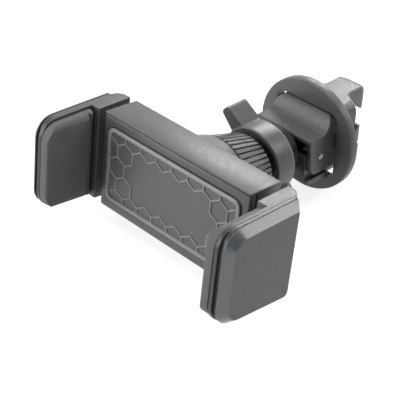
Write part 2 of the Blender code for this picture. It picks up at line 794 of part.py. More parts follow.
def make_pad(side, clamp, material):
    back_x = PAD_PLANE_X - SEAM
    face_x = back_x - PAD_THICK
    front = -ARM_REACH
    bead_y = -BEAD_SETBACK - BEAD_RADIUS
    bead = [(back_x - PAD_THICK / 2 - x, bead_y + y)
            for y, x in arc((0, 0), BEAD_RADIUS, 180, 0, 8)]
    corners = [(face_x, front, PAD_EDGE, 4), (face_x, bead_y - 2 * BEAD_RADIUS, EDGE, 2),
               (back_x - PAD_THICK / 2, bead_y - 1.6 * BEAD_RADIUS, 0, 0)]
    outline = round_corners([(back_x, front, 0, 0)] + corners + [(x, y, 0, 0) for x, y in bead]
                            + [(back_x, bead_y + BEAD_RADIUS, 0, 0)])
    reach = HALF_HEIGHT + WALL
    plan = [(side * x, clamp_y(y)) for x, y in outline]
    name = "left_pad" if side < 0 else "right_pad"
    pad = add_object(name, prism("Z", plan, -reach, reach), clamp, material)
    trim = arm_side_outline(front, -BEAD_SETBACK + WALL, PAD_INSET, ARM_CORNER - PAD_INSET, EDGE)
    x = sorted((side * (face_x - WALL), side * (back_x + WALL)))
    combine(pad, "INTERSECT", prism("X", trim, x[0], x[1]), "side_outline")
    combine(pad, "INTERSECT", pad_envelope(side, face_x), "rounded_face")
    return pad


def make_return_spring(side, clamp, material):
    # From the hook on the arm's rack to the post on the housing.
    start = side * (HOOK_AT - HOOK_WIDTH / 2 - FIT - SPRING_WIRE)
    end = -side * (POST_AT - POST_WIDTH / 2 - FIT - SPRING_WIRE)
    height = -side * SPRING_HEIGHT
    wire = coil(Vector((start, spring_y(), height)), Vector((end, spring_y(), height)), Vector((0, 1, 0)),
                SPRING_RADIUS, SPRING_TURNS, SPRING_STEPS, SPRING_WIRE, 4)
    name = "left_return_spring" if side < 0 else "right_return_spring"
    return add_object(name, wire, clamp, material)


def shell_profile(start, end, steps):
    # A stretch of a hollow sphere, with angles taken from the -Y pole.
    angles = np.linspace(start, end, steps + 1)
    outer = [(LINER_OUTER * math.sin(a), -LINER_OUTER * math.cos(a)) for a in angles]
    inner = [(LINER_INNER * math.sin(a), -LINER_INNER * math.cos(a)) for a in reversed(angles)]
    if start == 0:
        outer[0] = (0, -LINER_OUTER)
        inner[-1] = (0, -LINER_INNER)
    return outer + inner


def make_ball_seat(clip, material):
    return add_object("ball_seat", turned(shell_profile(0, SEAT_ANGLE, 3), ROUND_STEPS), clip, material)


def make_grip_ring(clamp, material):
    return add_object("grip_ring", turned(shell_profile(RING_FROM, RING_TO, 4), ROUND_STEPS), clamp, material)


def make_ball_nut(clamp, material):
    slope = (NUT_NARROW - NUT_WIDE) / (NUT_END - NUT_START)
    stations = [NUT_START, NUT_START + NUT_CHAMFER, NUT_END - NUT_CHAMFER, NUT_END]
    outer = []
    for y in stations:
        radius = NUT_WIDE + slope * (y - NUT_START)
        at_end = y in (stations[0], stations[-1])
        outer.append((y, radius - (NUT_CHAMFER if at_end else 0), radius - RIB_DEPTH))
    shape = bmesh.new()
    rings = []
    for y, crest, root in outer:
        ring = []
        for rib in range(NUT_RIBS):
            low = min(root, crest)
            for part, radius in ((-RIB_CREST, crest), (RIB_CREST, crest),
                                 (RIB_FOOT, low), (1 - RIB_FOOT, low)):
                turn = 2 * math.pi * (rib + part) / NUT_RIBS
                ring.append(shape.verts.new((radius * math.cos(turn), y, radius * math.sin(turn))))
        rings.append(ring)
    shape.faces.new(rings[0])
    shape.faces.new(rings[-1])
    for low, high in zip(rings, rings[1:]):
        bridge_rings(shape, low, high)
    nut = add_object("ball_nut", shape, clamp, material)
    bore = [(0, NUT_START - WALL), (NUT_BORE, NUT_START - WALL), (NUT_BORE, SOCKET_REACH),
            (LIP_RADIUS + RIB_DEPTH, LIP_HEIGHT - RIB_DEPTH), (LIP_RADIUS, LIP_HEIGHT),
            (LIP_FLARE, NUT_END), (LIP_FLARE, NUT_END + WALL), (0, NUT_END + WALL)]
    combine(nut, "DIFFERENCE", turned(bore, ROUND_STEPS), "bore")
    return nut


def make_ball_stud(clip, material):
    neck = math.asin(STEM_RADIUS / BALL_RADIUS)
    angles = np.linspace(0, math.pi - neck, 17)
    profile = [(BALL_RADIUS * math.sin(a), -BALL_RADIUS * math.cos(a)) for a in angles]
    profile[0] = (0, -BALL_RADIUS)
    profile += [(STEM_RADIUS, STEM_END - EDGE), (STEM_RADIUS - EDGE, STEM_END), (0, STEM_END)]
    return add_object("ball_stud", turned(profile, ROUND_STEPS), clip, material)


def wing_outline():
    along = Vector((math.cos(WING_ANGLE), math.sin(WING_ANGLE)))
    across = Vector((-along.y, along.x))
    corners = [(WING_ROOT, -WING_ROOT_HALF, 0, 0), (WING_REACH, -WING_TIP_HALF, WING_TIP_HALF * 0.7, 4),
               (WING_REACH, WING_TIP_HALF, WING_TIP_HALF * 0.7, 4), (WING_ROOT, WING_ROOT_HALF, 0, 0)]
    return [tuple(along * u + across * (v + WING_OFFSET)) for u, v in round_corners(corners)]


def make_wing_nut(clip, material):
    dish = HUB_START + HUB_DISH
    rim = HUB_RADIUS - HUB_RIM
    back = [(HUB_RADIUS - HUB_ROUND + HUB_ROUND * math.cos(a), HUB_END - HUB_ROUND + HUB_ROUND * math.sin(a))
            for a in np.linspace(0, math.pi / 2, 5)]
    profile = [(STEM_BORE, dish), (rim - HUB_DISH, dish), (rim, HUB_START), (HUB_RADIUS - EDGE, HUB_START),
               (HUB_RADIUS, HUB_START + EDGE)] + back + [(STEM_BORE, HUB_END)]
    nut = add_object("wing_nut", turned(profile, ROUND_STEPS + 8), clip, material)
    for number in range(2):
        turn = Matrix.Rotation(math.pi * number, 2)
        outline = [tuple(turn @ Vector(point)) for point in wing_outline()]
        combine(nut, "UNION", prism("Y", outline, WING_START, WING_END), f"wing_{number + 1}")
    return nut


def make_thrust_sleeve(clip, material):
    end = SLEEVE_START + SLEEVE_LENGTH
    profile = [(STEM_BORE, SLEEVE_START), (SLEEVE_RADIUS - EDGE, SLEEVE_START),
               (SLEEVE_RADIUS, SLEEVE_START + EDGE), (SLEEVE_RADIUS, end), (STEM_BORE, end)]
    sleeve = add_object("thrust_sleeve", turned(profile, ROUND_STEPS), clip, material)
    high = math.sqrt(SLEEVE_RADIUS ** 2 - (LUG_WIDTH / 2) ** 2) - FIT
    for side in (-1, 1):
        z = sorted((side * LUG_LOW, side * high))
        lug = box((-LUG_WIDTH / 2, end - LUG_LENGTH, z[0]), (LUG_WIDTH / 2, end + LUG_LENGTH, z[1]))
        combine(sleeve, "UNION", lug, "lower_lug" if side < 0 else "upper_lug")
    return sleeve


def s_curve(start, end, steps=8):
    # A smooth rise between two flat stretches, as points of (y, z).
    points = []
    for step in range(steps + 1):
        t = step / steps
        ease = t * t * (3 - 2 * t)
        points.append((start[0] + (end[0] - start[0]) * t, start[1] + (end[1] - start[1]) * ease))
    return points


def tip_outline(ridge, block_start):
    # The prong past the window: a thick block, a thin skin and a hooked tooth, seen from the side.
    skin = ridge - PRONG_SKIN
    step = PRONG_BLOCK_END + TOOTH_EDGE
    corners = [(TIP_END - TIP_SLOPE, ridge, TIP_FILLET, 5), (TIP_END, ridge - TIP_DROP, TIP_EDGE, 3),
               (TIP_END, TOOTH_GAP + TIP_TOE, TIP_EDGE, 3), (TOOTH_POINT, TOOTH_GAP, TOOTH_EDGE, 3),
               (TOOTH_START, skin, TOOTH_EDGE, 3), (step, skin, TOOTH_EDGE, 3),
               (step, PRONG_GAP, TOOTH_EDGE, 3), (block_start, PRONG_GAP, 0, 0)]
    head = [(block_start, ridge, 0, 0)]
    return round_corners(head + corners)[1:]


def arched_section(y, half, arch, ridge, sign):
    # A slice across the jaw: flat below, with its two outer corners rounded by the arch.
    low = -2 * ridge
    crest = ridge + ARCH_CLEAR
    radius = min(arch, 0.9 * half)
    outline = [(-half, low), (half, low)]
    outline += arc((half - radius, crest - radius), radius, 0, 90, 5)
    outline += arc((radius - half, crest - radius), radius, 90, 180, 5)
    return [(x, y, sign * z) for x, z in outline]


def trim_jaw(jaw, start, wide, arch, neck_start, neck, ridge, sign):
    # The plan of the jaw: rounded front corners, the window's width, then a slim domed tip.
    first = start - ARCH_CLEAR
    last = TIP_END + ARCH_CLEAR
    front = [(wide - JAW_LIP * (1 - math.sin(t)), first + JAW_LIP * (1 - math.cos(t)), arch)
             for t in np.linspace(0, math.pi / 2, 5)]
    block = [(wide, neck_start, arch), (neck, neck_start + EDGE, arch),
             (neck, PRONG_BLOCK_END - 3 * EDGE, arch), (neck - 2 * EDGE, PRONG_BLOCK_END - EDGE, arch)]
    inner, nose = [], []
    for t in np.linspace(0, math.pi / 2, 5):
        inner.append((TIP_HALF_WIDTH + TIP_FILLET * (1 - math.sin(t)),
                      PRONG_BLOCK_END + TIP_FILLET * (1 - math.cos(t)), TIP_ARCH))
    for t in np.linspace(0, math.pi / 2, 7):
        nose.append((TIP_HALF_WIDTH - TIP_ROUND * (1 - math.cos(t)),
                     last - TIP_ROUND * (1 - math.sin(t)), TIP_ARCH))
    stations = front + block + inner + nose
    sections = [arched_section(y, half, radius, ridge, sign) for half, y, radius in stations]
    envelope = loft(sections)
    bmesh.ops.triangulate(envelope, faces=envelope.faces)
    combine(jaw, "INTERSECT", envelope, "plan")


def hang_on_pin(jaw):
    # Puts the jaw's origin on the hinge pin, without moving the jaw.
    pin = Vector((0, PIN_AT, -PIN_DROP))
    jaw.data.transform(Matrix.Translation(-pin))
    jaw.location = pin


def pin_hole(radius, half_length):
    return prism("X", circle((PIN_AT, -PIN_DROP), radius, BORE_STEPS), -half_length, half_length)


def make_upper_jaw(clip, material):
    lip = arc((JAW_START + JAW_LIP, JAW_TOP - JAW_LIP), JAW_LIP, 180, 90, 4)
    top = lip + s_curve((JAW_SHOULDER, JAW_TOP), (JAW_RISE_END, JAW_RIDGE))
    tip = tip_outline(JAW_RIDGE, PRONG_BLOCK_START)
    low_front = JAW_START + CHEEK_LEAN
    cheek = [(CHEEK_END, PRONG_GAP, 0, 0), (CHEEK_END, -CHEEK_BOTTOM, CHEEK_ROUND / 2, 4),
             (low_front, -CHEEK_BOTTOM, CHEEK_ROUND, 5), (JAW_START, JAW_TOP, 0, 0)]
    outline = top + tip + round_corners(cheek)[:-1]
    reach = JAW_HALF_WIDTH + WALL
    jaw = add_object("upper_jaw", prism("X", outline, -reach, reach), clip, material)
    soften(jaw, EDGE)
    trim_jaw(jaw, JAW_START, JAW_HALF_WIDTH, JAW_ARCH, CHEEK_END + 2 * WALL, PRONG_HALF_WIDTH, JAW_RIDGE, 1)
    inside = JAW_HALF_WIDTH - JAW_WALL
    ceiling = [(y, z - JAW_WALL) for y, z in s_curve((JAW_SHOULDER, JAW_TOP), (JAW_RISE_END, JAW_RIDGE))]
    low = -2 * CHEEK_BOTTOM
    front = JAW_START - 2 * WALL
    room_end = PRONG_BLOCK_START - FIT
    room = [(front, low), (front, JAW_TOP - JAW_WALL)] + ceiling
    room += [(room_end, JAW_RIDGE - JAW_WALL), (room_end, low)]
    combine(jaw, "DIFFERENCE", prism("X", room, -inside, inside), "room")
    combine(jaw, "DIFFERENCE", pin_hole(PIN_BORE, 2 * JAW_HALF_WIDTH), "pin_hole")
    hang_on_pin(jaw)
    return jaw


def make_lower_jaw(clip, material):
    start = JAW_START + FIT
    tip = [(y, -z) for y, z in tip_outline(LOWER_RIDGE, PRONG_BLOCK_START)]
    sweep = s_curve((LOWER_NECK_START, LOWER_BOTTOM + 2 * EDGE), (CHEEK_END, LOWER_RIDGE), 5)
    bottom = [(start, -LOWER_BOTTOM)] + [(y, -z) for y, z in sweep]
    outline = bottom + tip + [(CHEEK_END, -PRONG_GAP)]
    ear = arc((PIN_AT, -PIN_DROP), EAR_RADIUS, 0, 180, 10)
    outline += ear + [(start + JAW_WALL, LOWER_FRONT_TOP), (start, LOWER_FRONT_TOP)]
    reach = LOWER_SKIRT + WALL
    jaw = add_object("lower_jaw", prism("X", outline, -reach, reach), clip, material)
    soften(jaw, EDGE)
    trim_jaw(jaw, start, LOWER_SKIRT, LOWER_ARCH, LOWER_NECK_START, LOWER_NECK, LOWER_RIDGE, -1)
    for side in (-1, 1):
        x = sorted((side * LOWER_HALF_WIDTH, side * 2 * LOWER_HALF_WIDTH))
        rebate = box((x[0], start - WALL, -LOWER_SKIRT_TOP), (x[1], CHEEK_END + WALL, JAW_TOP))
        combine(jaw, "DIFFERENCE", rebate, "left_rebate" if side < 0 else "right_rebate")
    inside = LOWER_HALF_WIDTH - JAW_WALL
    floor = [(y, -z + JAW_WALL) for y, z in sweep]
    room_start = start + JAW_WALL
    room_end = PRONG_BLOCK_START - FIT
    room = [(room_start, -LOWER_BOTTOM + JAW_WALL)] + floor
    room += [(room_end, -LOWER_RIDGE + JAW_WALL), (room_end, JAW_TOP), (room_start, JAW_TOP)]
    neck = LOWER_NECK - JAW_WALL
    combine(jaw, "DIFFERENCE", prism("X", room, -neck, neck), "room")
    wide = [(room_start, -LOWER_BOTTOM + JAW_WALL), (LOWER_NECK_START - WALL, -LOWER_BOTTOM + JAW_WALL),
            (LOWER_NECK_START - WALL, JAW_TOP), (room_start, JAW_TOP)]
    combine(jaw, "DIFFERENCE", prism("X", wide, -inside, inside), "wide_room")
    notch = prism("Y", circle((0, 0), NOTCH_RADIUS, BORE_STEPS), start - WALL, room_start + WALL)
    combine(jaw, "DIFFERENCE", notch, "stud_notch")
    combine(jaw, "DIFFERENCE", pin_hole(PIN_BORE, 2 * JAW_HALF_WIDTH), "pin_hole")
    hang_on_pin(jaw)
    return jaw


def make_jaw_pin(clip, material):
    half = JAW_HALF_WIDTH + EDGE / 2
    return add_object("jaw_pin", pin_hole(PIN_RADIUS, half), clip, material)


def make_jaw_carrier(clip, material):
    low = (-CARRIER_HALF_WIDTH, CARRIER_START, -CARRIER_HALF_HEIGHT)
    high = (CARRIER_HALF_WIDTH, BAR_START + BAR_THICK / 2, CARRIER_HALF_HEIGHT)
    carrier = add_object("jaw_carrier", box(low, high), clip, material)
    slim = CARRIER_HALF_HEIGHT
    for side in (-1, 1):
        z = sorted((side * BAR_HALF_HEIGHT, side * 2 * slim))
        cut = box((-2 * CARRIER_HALF_WIDTH, RING_FRONT, z[0]),
                  (2 * CARRIER_HALF_WIDTH, BAR_START + BAR_THICK, z[1]))
        combine(carrier, "DIFFERENCE", cut, "under" if side < 0 else "over")
    bar = box((-BAR_HALF_WIDTH, BAR_START, -BAR_HALF_HEIGHT),
              (BAR_HALF_WIDTH, BAR_START + BAR_THICK, BAR_HALF_HEIGHT))
    combine(carrier, "UNION", bar, "bar")
    for side in (-1, 1):
        hole = prism("Y", circle((side * RING_SCREW_AT, 0), RING_SCREW_RADIUS + RUN, BORE_STEPS),
                     BAR_START - WALL, BAR_START + 2 * BAR_THICK)
        combine(carrier, "DIFFERENCE", hole, "left_hole" if side < 0 else "right_hole")
    stud = prism("Y", circle((0, 0), STEM_RADIUS + RUN, 2 * BORE_STEPS), CARRIER_START - WALL, STEM_END + FIT)
    combine(carrier, "DIFFERENCE", stud, "stud_hole")
    combine(carrier, "DIFFERENCE", pin_hole(PIN_BORE, JAW_HALF_WIDTH), "pin_hole")
    return carrier


def make_ring_plate(clip, material):
    outline = circle((0, 0), RING_RADIUS, 2 * ROUND_STEPS)
    ring = add_object("support_ring", prism("Y", outline, RING_FRONT, RING_BACK), clip, material)
    window = rounded_rectangle((-WINDOW_HALF_WIDTH, -WINDOW_BOTTOM), (WINDOW_HALF_WIDTH, WINDOW_TOP),
                               WINDOW_CORNER)
    soften(ring, RING_ROUND)
    combine(ring, "DIFFERENCE", prism("Y", window, RING_FRONT - WALL, RING_BACK + WALL), "window")
    for side in (-1, 1):
        hole = prism("Y", circle((side * RING_SCREW_AT, 0), RING_SCREW_RADIUS + RUN, BORE_STEPS),
                     RING_BACK - RING_SCREW_DEPTH - FIT, RING_BACK + WALL)
        combine(ring, "DIFFERENCE", hole, "left_hole" if side < 0 else "right_hole")
    return ring


def make_ring_screws(clip, material):
    seat = BAR_START + BAR_THICK + FIT / 2
    tip = RING_BACK - RING_SCREW_DEPTH
    top = seat + RING_SCREW_HEAD_HEIGHT
    profile = [(0, tip), (RING_SCREW_RADIUS, tip), (RING_SCREW_RADIUS, seat), (RING_SCREW_HEAD, seat),
               (RING_SCREW_HEAD, top - EDGE), (RING_SCREW_HEAD - EDGE, top), (0, top)]
    for side in (-1, 1):
        shape = turned(profile, SCREW_STEPS)
        bmesh.ops.translate(shape, verts=shape.verts, vec=(side * RING_SCREW_AT, 0, 0))
        add_object("ring_screw_left" if side < 0 else "ring_screw_right", shape, clip, material)


def make_jaw_spring(clip, material):
    # Coils round the hinge pin; one leg lies under the upper jaw and one over the lower jaw.
    start = Vector((JAW_SPRING_FROM, PIN_AT, -PIN_DROP))
    end = Vector((JAW_SPRING_TO, PIN_AT, -PIN_DROP))
    first = Vector((0, math.cos(math.pi / 3), math.sin(math.pi / 3)))
    wire = coil(start, end, first, JAW_SPRING_RADIUS, JAW_SPRING_TURNS + 1 / 6, 12, JAW_SPRING_WIRE, 6)
    return add_object("jaw_spring", wire, clip, material)


def build():
    clear_scene()
    clip, clamp = make_frame_empties()
    shell = plastic("graphite_plastic", (0.115, 0.120, 0.124), 0.55)
    panel = plastic("panel_plastic", (0.100, 0.103, 0.106), 0.60)
    inner = plastic("inner_plastic", (0.030, 0.030, 0.032), 0.50)
    rubber = plastic("pad_rubber", (0.070, 0.071, 0.073), 0.80)
    steel = plastic("zinc_steel", (0.60, 0.60, 0.60), 0.30, 1.0)
    make_front_frame(clamp, shell)
    make_front_panel(clamp, panel)
    make_rear_housing(clamp, shell)
    make_screws(clamp, steel)
    make_pinion(clamp, inner)
    make_pinion_pin(clamp, steel)
    for side in (-1, 1):
        make_arm(side, clamp, shell)
        make_cap(side, clamp, panel)
        make_pad(side, clamp, rubber)
        make_return_spring(side, clamp, steel)
    make_ball_seat(clip, inner)
    make_grip_ring(clamp, inner)
    make_ball_nut(clamp, shell)
    make_ball_stud(clip, inner)
    make_wing_nut(clip, shell)
    make_thrust_sleeve(clip, inner)
    make_upper_jaw(clip, shell)
    make_lower_jaw(clip, shell)
    make_jaw_pin(clip, steel)
    make_jaw_carrier(clip, inner)
    make_ring_plate(clip, shell)
    make_ring_screws(clip, steel)
    make_jaw_spring(clip, steel)
    bpy.context.view_layer.update()


build()
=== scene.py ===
import math

import bmesh
import bpy
from mathutils import Matrix, Vector


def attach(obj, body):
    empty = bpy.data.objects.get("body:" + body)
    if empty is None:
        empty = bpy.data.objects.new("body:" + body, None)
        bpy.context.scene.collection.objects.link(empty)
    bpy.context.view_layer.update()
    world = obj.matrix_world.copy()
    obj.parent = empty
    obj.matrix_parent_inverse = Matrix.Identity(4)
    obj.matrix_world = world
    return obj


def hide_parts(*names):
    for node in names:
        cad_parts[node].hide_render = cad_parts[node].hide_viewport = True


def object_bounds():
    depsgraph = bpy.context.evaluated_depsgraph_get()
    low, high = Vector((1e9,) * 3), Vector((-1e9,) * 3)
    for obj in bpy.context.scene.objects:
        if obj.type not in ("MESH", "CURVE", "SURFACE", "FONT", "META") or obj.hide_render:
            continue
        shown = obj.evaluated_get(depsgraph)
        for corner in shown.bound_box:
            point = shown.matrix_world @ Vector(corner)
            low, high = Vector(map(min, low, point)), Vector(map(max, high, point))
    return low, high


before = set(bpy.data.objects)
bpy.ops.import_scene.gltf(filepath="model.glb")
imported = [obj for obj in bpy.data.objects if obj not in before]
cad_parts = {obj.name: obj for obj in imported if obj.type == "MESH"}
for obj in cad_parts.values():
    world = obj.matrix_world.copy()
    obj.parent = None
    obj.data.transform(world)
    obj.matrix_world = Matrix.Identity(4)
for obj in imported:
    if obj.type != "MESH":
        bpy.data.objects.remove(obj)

CAD_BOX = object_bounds()

# Where each finish goes.
GRAPHITE = ["front_frame", "rear_housing", "left_cap", "right_cap", "support_ring", "upper_jaw",
            "lower_jaw"]
ARMS = ["left_arm", "right_arm"]
WING = ["wing_nut"]
KNURL = ["ball_nut"]
PANEL = ["front_panel"]
RUBBER = ["left_pad", "right_pad"]
BLACK = ["ball_seat", "grip_ring", "ball_stud", "thrust_sleeve", "jaw_carrier", "pinion_gear"]
STEEL = ["jaw_pin", "pinion_pin", "jaw_spring", "left_return_spring", "right_return_spring",
         "housing_screw_1", "housing_screw_2", "housing_screw_3", "housing_screw_4",
         "ring_screw_left", "ring_screw_right"]

# Colours, linear.
GRAPHITE_COLOUR = (0.076, 0.0812, 0.0866)
PANEL_COLOUR = (0.094, 0.099, 0.104)
# Painted highlight: the panel's raised lines and rim are paler than the panel.
LINE_HIGHLIGHT_COLOUR = (0.270, 0.276, 0.283)
# Painted highlight: the caps' bevels are paler and bluer than the plastic.
BEVEL_HIGHLIGHT_COLOUR = (0.112, 0.122, 0.130)
KNURL_COLOUR = (0.056, 0.059, 0.063)
RUBBER_COLOUR = (0.116, 0.118, 0.121)
BLACK_COLOUR = (0.012, 0.012, 0.013)
STEEL_COLOUR = (0.62, 0.62, 0.63)
WHITE = (1.0, 1.0, 1.0)

# Finishes in general. Noise lies mostly within NOISE, and a tone multiplies the colour.
NOISE = (0.3, 0.7)
EDGE_RADIUS = 0.00035
EDGE_COSINES = (0.995, 0.86)
BEVEL_SAMPLES = 6
FINE_BUMP = 0.000008

# Moulded plastic: roughness, noise scale of the grain and height of its bump, then how much paler
# the edges are, as wear and painted highlight, and specular level where they aren't the usual
# ones.
MATT = {"roughness": 0.38, "grain": 2600.0, "height": 0.000009}
POLISHED = {"roughness": 0.34, "grain": 2600.0, "height": 0.0000004}
RIBBED = {"roughness": 0.24, "grain": 900.0, "height": 0.0, "wear_and_highlight": 0.05}
PANELLED = {"roughness": 0.36, "grain": 3000.0, "height": 0.000005, "wear_and_highlight": 0.3}
INNER = {"roughness": 0.50, "grain": 3200.0, "height": 0.000004, "wear_and_highlight": 0.2, "gloss": 0.22}
PLASTIC_IOR = 1.5
BEVEL_COAT = 0.8
COAT_ROUGHNESS = 0.22
MOTTLE_SCALE = 70.0
MOTTLE_TONE = (0.95, 1.05)
GRAIN_TONE = (0.88, 1.12)
SPECK_SCALE = 0.37
SPECK_HEIGHT = 0.6
WEAR_SCALE = 420.0
WEAR_NOISE = (0.35, 0.65)
WEAR_TONE = (0.35, 1.0)
WEAR_POLISH = -0.10
ROUGHNESS_SPREAD = (-0.05, 0.06)

# Pad rubber.
DUST_SCALE = 160.0
DUST_TONE = (0.88, 1.14)
RUBBER_GRAIN = 3600.0
RUBBER_GRAIN_TONE = (0.90, 1.10)
RUBBER_EDGE_HIGHLIGHT = 0.90
RUBBER_ROUGHNESS = (0.62, 0.78)
RUBBER_IOR = 1.45
RUBBER_SHEEN = 0.08

# Zinc plated steel.
PLATING_SCALE = 900.0
PLATING_TONE = (0.86, 1.08)
BRUSH_SCALE = 9000.0
BRUSH_TONE = (0.92, 1.08)
BRUSH_STRETCH = (0.08, 1.0, 1.0)
STEEL_ROUGHNESS = (0.24, 0.38)
STEEL_EDGE_RADIUS = EDGE_RADIUS / 3

# The clamp's own frame: it leans back on the ball. Depths there grow towards the vent.
CLAMP_LEAN = math.radians(5.5)
BALL_Y = -0.0353
FACE_Y = -0.0207

# The panel's raised lines and the floor of its cells, as depths from the ball.
LINE_DEPTH = -0.02115
CELL_DEPTH = -0.02090

# The arms' outer edge, seen from the side. Here and below, depths are from FACE_Y.
ARM_FRONT = -0.0171
ARM_HALF_HEIGHT = 0.0139
ARM_TAPER = 0.042
ARM_CORNER = 0.0056
ARM_OUTER_X = 0.0344
BACK_ROUND = 0.0045
BACK_ROUND_AT = 0.0067

# The groove between arm and cap: painted shade in the recess beside a pad, closed by a band
# elsewhere.
GROOVE_X = 0.0334
GROOVE_DEPTH = 0.0008
GROOVE_BLEND = 0.0001
GROOVE_SHADE_STRENGTH = 0.7
GROOVE_FADE = -0.0145
GROOVE_FADE_END = -0.0120
RECESS_X = 0.0321
BAND_END = 0.0094
BAND_INSET = 0.00005
BAND_FIRST = 3
BAND_CORNER_STEPS = 10
BAND_TOP_STEPS = 12

# The arms' outer caps.
CAP_INNER_X = 0.0346
CAP_OUTER_X = 0.0371
CAP_LIP = 0.0004
CAP_FRONT = -0.0169
CAP_BACK = 0.0086
CAP_TOP_CORNER = 0.0010
CAP_LOW_CORNER = 0.0032
CAP_BEVEL_FRONT = 0.0022
CAP_BEVEL_SIDE = 0.0018
CAP_BEVEL_SLOT = 1

# The jaws' tips: a blunt nose with a flat top, rounded in plan, and a tooth below it.
TIP_HALF_WIDTH = 0.0046
TIP_ROUND = 0.0032
TIP_ARCH = 0.0014
TIP_ARCH_MOST = 0.9
TIP_FROM = 0.0145
TIP_END = 0.01868
TIP_FALL = 0.0011
TIP_CHAMFER = 0.0016
TIP_CHAMFER_FALL = 0.7
TIP_ROUND_STEPS = 8
TIP_ARCH_STEPS = 5
TOOTH_ROOT = 0.0056
TOOTH_DEEP = 0.0071
TOOTH_END = 0.0050
TOOTH_DEEPEST = 0.45
UPPER_RIDGE = 0.0103
LOWER_RIDGE = 0.0099

# The wing nut's rear rim, painted pale as a highlight: where it is, and how much paler than the
# rest.
RIM_DEPTHS = (-0.0190, -0.0182)
RIM_RADII = (0.0092, 0.0104)
RIM_BLEND = 0.0001
RIM_HIGHLIGHT_GAIN = 5.0

# Meshes: which edges stay sharp, what counts as one point, how far new faces keep clear.
SMOOTH = "smooth_by_angle"
SMOOTH_LIMIT = math.radians(32)
MERGE = 0.000002
CLEAR = 0.00002

# Camera, fitted to the photograph.
CAMERA_AT = (0.18648, -0.23298, 0.17965)
CAMERA_RIGHT = (0.697938838951864, 0.7157241197366007, 0.02490705742942071)
CAMERA_DOWN = (0.42141637167559287, -0.38232737041490616, -0.8223344961239324)
CAMERA_AHEAD = (-0.5790419835955789, 0.5844354252258254, -0.5684589826670046)
LENS = 108.45
SENSOR = 36.0
CLIP_START = 0.01
CLIP_END = 50.0

# Lamps: name, place, width, height, watts.
LAMPS_FACE = (0.0, -0.035, 0.0)
LAMPS = [
    ("rear_left_softbox", (-0.26, 0.46, 0.36), 0.30, 0.24, 2.1),
    ("rear_right_softbox", (0.30, 0.34, 0.34), 0.24, 0.24, 0.75),
    ("front_left_softbox", (-0.40, -0.46, 0.20), 0.60, 0.40, 3.0),
    ("front_right_softbox", (0.22, -0.54, 0.04), 0.40, 0.24, 0.7),
    ("back_strip", (0.02, 0.54, 0.10), 0.40, 0.22, 0.6),
    ("top_softbox", (0.0, 0.0, 0.52), 0.45, 0.45, 1.6),
]

# World: its level as light, and the side where it is darker, by the cosine from that side.
AMBIENT = 0.15
DARK_SIDE = (0.579, -0.584, 0.568)
DARK_COSINES = (0.2, 0.85)
DARK_LEVEL = 0.08

# Floor: its glow rises from the first to the second distance of FLOOR_FAR.
FLOOR_COLOUR = (0.50, 0.50, 0.50)
FLOOR_GRAIN = 60.0
FLOOR_TONE = (0.98, 1.02)
FLOOR_GLOW = 0.80
FLOOR_FAR_GLOW = 0.94
FLOOR_FAR = (0.5, 1.8)
FLOOR_HALF = 4.0

# The Mix node's colour sockets.
MIX_FIRST = 6
MIX_SECOND = 7
MIX_RESULT = 2


class Tree:
    # The node tree of a material or world, with short ways to add and join nodes.
    def __init__(self, owner):
        owner.use_nodes = True
        self.owner = owner
        self.tree = owner.node_tree
        self.tree.nodes.clear()

    def add(self, kind, inputs=None, **settings):
        node = self.tree.nodes.new(kind)
        for key, value in settings.items():
            setattr(node, key, value)
        for key, value in (inputs or {}).items():
            self.feed(node.inputs[key], value)
        return node

    def feed(self, socket, value):
        if isinstance(value, bpy.types.NodeSocket):
            self.tree.links.new(value, socket)
        else:
            socket.default_value = value

    def math(self, operation, *values, clamp=False):
        inputs = dict(enumerate(values))
        return self.add("ShaderNodeMath", inputs, operation=operation, use_clamp=clamp).outputs[0]

    def times(self, first, second):
        return self.math("MULTIPLY", first, second)

    def lift(self, mask, amount):
        # 1 where the mask is 0, and 1 + amount where it is 1.
        return self.math("MULTIPLY_ADD", mask, amount, 1.0)

    def spread(self, value, low, high, to_low, to_high, curve="LINEAR"):
        inputs = {"Value": value, "From Min": low, "From Max": high, "To Min": to_low,
                  "To Max": to_high}
        node = self.add("ShaderNodeMapRange", inputs, clamp=True, interpolation_type=curve)
        return node.outputs["Result"]

    def noise(self, place, scale, detail=2.0, rough=0.5):
        inputs = {"Vector": place, "Scale": scale, "Detail": detail, "Roughness": rough}
        return self.add("ShaderNodeTexNoise", inputs).outputs["Fac"]

    def mix(self, factor, first, second):
        inputs = {"Factor": factor, MIX_FIRST: first, MIX_SECOND: second}
        return self.add("ShaderNodeMix", inputs, data_type="RGBA").outputs[MIX_RESULT]

    def scaled(self, colour, factor):
        node = self.add("ShaderNodeVectorMath", operation="SCALE")
        self.feed(node.inputs[0], colour)
        self.feed(node.inputs["Scale"], factor)
        return node.outputs[0]

    def dot(self, first, second):
        node = self.add("ShaderNodeVectorMath", {0: first, 1: second}, operation="DOT_PRODUCT")
        return node.outputs["Value"]

    def length(self, vector):
        node = self.add("ShaderNodeVectorMath", {0: vector}, operation="LENGTH")
        return node.outputs["Value"]

    def axes(self, place):
        return self.add("ShaderNodeSeparateXYZ", {"Vector": place}).outputs

    def place(self, kind="Object"):
        return self.add("ShaderNodeTexCoord").outputs[kind]

    def soft_normal(self, radius):
        node = self.add("ShaderNodeBevel", {"Radius": radius}, samples=BEVEL_SAMPLES)
        return node.outputs["Normal"]

    def edges(self, soft):
        # 1 along outer and inner edges, 0 on flat parts.
        sharp = self.add("ShaderNodeNewGeometry").outputs["Normal"]
        return self.spread(self.dot(soft, sharp), *EDGE_COSINES, 0.0, 1.0)

    def bump(self, height, distance, normal):
        inputs = {"Height": height, "Distance": distance, "Normal": normal, "Strength": 1.0}
        return self.add("ShaderNodeBump", inputs).outputs["Normal"]

    def output(self, shader, kind="ShaderNodeOutputMaterial"):
        self.add(kind, {"Surface": shader.outputs[0]})
        return self.owner


def rgba(colour):
    return (*colour, 1.0)


